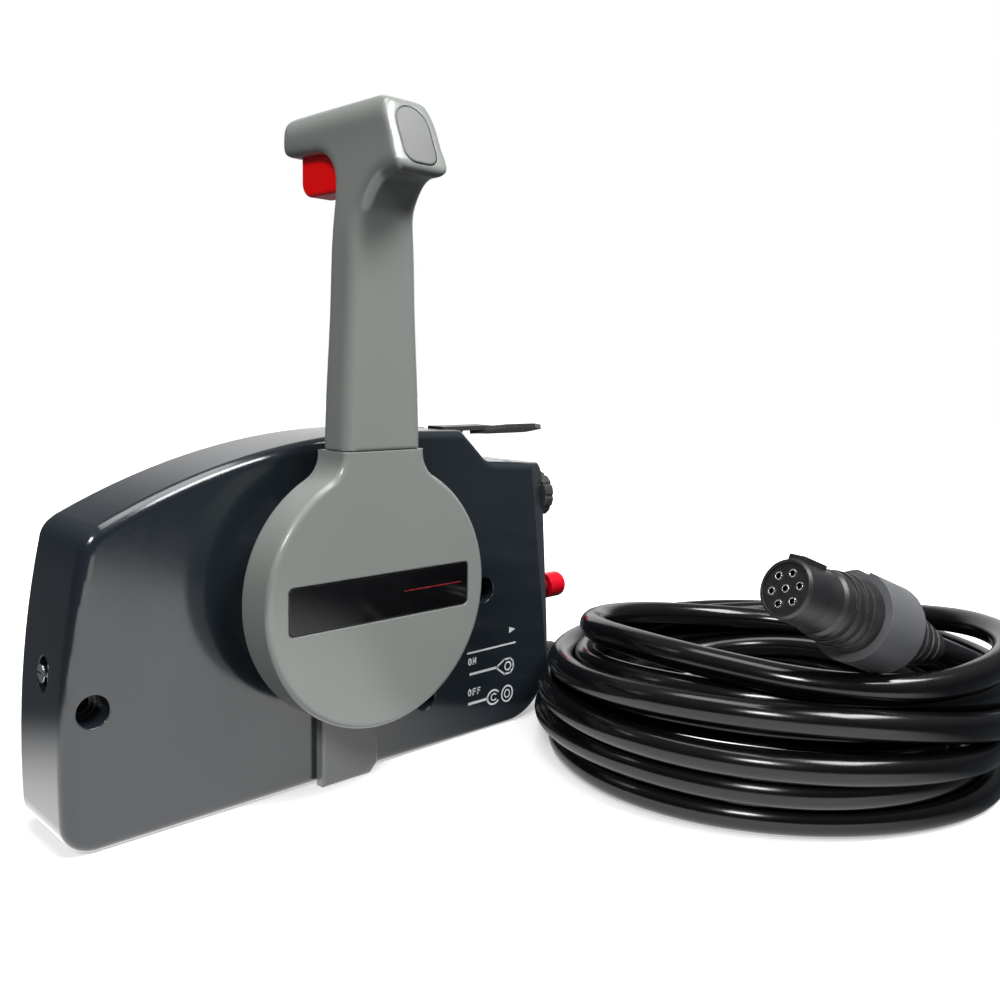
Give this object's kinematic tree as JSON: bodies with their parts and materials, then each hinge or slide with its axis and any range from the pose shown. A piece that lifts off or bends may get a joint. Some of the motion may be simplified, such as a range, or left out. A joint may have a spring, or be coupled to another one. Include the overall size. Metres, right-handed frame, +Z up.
{
  "type": "marine engine remote control",
  "caption": "Side-mount throttle and shift control with an upright lever, red neutral lock, key and stop switches, and a coiled harness with a round plug.",
  "frame": {"origin": "where the lever axis meets the flat back face of the box", "axes": "+X along the box towards the end with the key switch and the harness, +Y out of the back face towards the boat's side panel, +Z up along the lever in neutral"},
  "size_m": [0.3953, 0.2495, 0.2713],
  "materials": {
    "box_plastic": "glossy dark slate moulded plastic",
    "cover_plastic": "matte dark moulded plastic",
    "grey_plastic": "satin mid-grey paint",
    "label_black": "gloss black plate",
    "trigger_red": "gloss red plastic",
    "stop_red": "gloss red plastic",
    "black_plastic": "matte black plastic",
    "cord_pvc": "semi-gloss black cable jacket",
    "steel": "machined steel",
    "zinc": "zinc-plated steel",
    "chrome": "polished chrome",
    "brass": "plated brass",
    "acetal": "natural acetal",
    "dark_metal": "dark plated metal"
  },
  "bodies": {
    "box": {"back_cover": "cover_plastic", "control_cable_grommet": "black_plastic", "cover_screws": "zinc", "detent_arm": "zinc", "detent_post": "zinc", "detent_roller": "steel", "detent_spring": "steel", "friction_lever": "zinc", "friction_nut": "brass", "front_housing": "box_plastic", "harness_boot": "black_plastic", "harness_coil": "cord_pvc", "harness_gland": "black_plastic", "harness_lead": "cord_pvc", "key_ring_nut": "dark_metal", "key_switch_body": "black_plastic", "lead_wire_cover": "grey_plastic", "neutral_plate": "steel", "neutral_plate_screws": "zinc", "neutral_switch": "black_plastic", "pivot_bushing": "acetal", "plug_body": "black_plastic", "plug_boot": "black_plastic", "plug_contacts": "chrome", "plug_insert": "black_plastic", "plug_lock_ring": "black_plastic", "shift_gear_pin": "zinc", "stop_switch_body": "black_plastic", "stop_switch_nut": "black_plastic", "throttle_gear_pin": "zinc", "warning_buzzer": "black_plastic"},
    "lever": {"lever_arm": "grey_plastic", "hub_cover": "grey_plastic", "label_plate": "label_black", "grip_end_cap": "grey_plastic", "main_shaft": "steel", "lever_bolt": "zinc", "thrust_washer": "steel", "drive_gear": "steel", "detent_disc": "steel", "shaft_clip": "steel", "interlock_spring": "steel"},
    "trigger": {"neutral_trigger": "trigger_red", "interlock_rod": "steel", "lock_pin": "steel"},
    "shift": {"shift_gear": "steel", "shift_arm": "zinc"},
    "throttle": {"throttle_gear": "steel", "throttle_arm": "zinc"},
    "idle": {"idle_lever": "dark_metal", "idle_pin": "steel", "idle_cam": "acetal"},
    "friction_adjuster": {"friction_screw": "chrome"},
    "key": {"key_barrel": "chrome"},
    "stop": {"stop_button": "stop_red"}
  },
  "joints": [
    {"name": "lever_hinge", "type": "hinge", "parent": "box", "child": "lever", "pos_m": [0, -0.03, 0], "axis": [0, 1, 0], "range_deg": [-80, 80]},
    {"name": "trigger_slide", "type": "slide", "parent": "lever", "child": "trigger", "axis": [0, 0, 1], "range_m": [0, 0.006], "stiffness_N_per_m": 900, "springref_m": -0.004, "deforming": ["interlock_spring"]},
    {"name": "shift_hinge", "type": "hinge", "parent": "box", "child": "shift", "pos_m": [-0.056, -0.03, 0], "axis": [0, 1, 0], "range_deg": [-32, 32]},
    {"name": "throttle_hinge", "type": "hinge", "parent": "box", "child": "throttle", "pos_m": [0, -0.02, -0.048], "axis": [0, 1, 0], "range_deg": [-40, 40]},
    {"name": "idle_hinge", "type": "hinge", "parent": "box", "child": "idle", "pos_m": [0.072, -0.026, 0.0535], "axis": [0, -1, 0], "range_deg": [0, 65]},
    {"name": "friction_turn", "type": "hinge", "parent": "box", "child": "friction_adjuster", "pos_m": [-0.11, -0.025, -0.0205], "axis": [1, 0, 0], "range_deg": [-180, 180]},
    {"name": "key_turn", "type": "hinge", "parent": "box", "child": "key", "pos_m": [0.13, -0.027, 0.026], "axis": [1, 0, 0], "range_deg": [0, 90]},
    {"name": "stop_press", "type": "slide", "parent": "box", "child": "stop", "axis": [-1, 0, 0], "range_m": [0, 0.0035], "stiffness_N_per_m": 900, "springref_m": -0.002}
  ],
  "couplings": [
    {"joint": "shift_hinge", "follows": "lever_hinge", "ratio": -0.4},
    {"joint": "throttle_hinge", "follows": "lever_hinge", "ratio": -0.5}
  ]
}
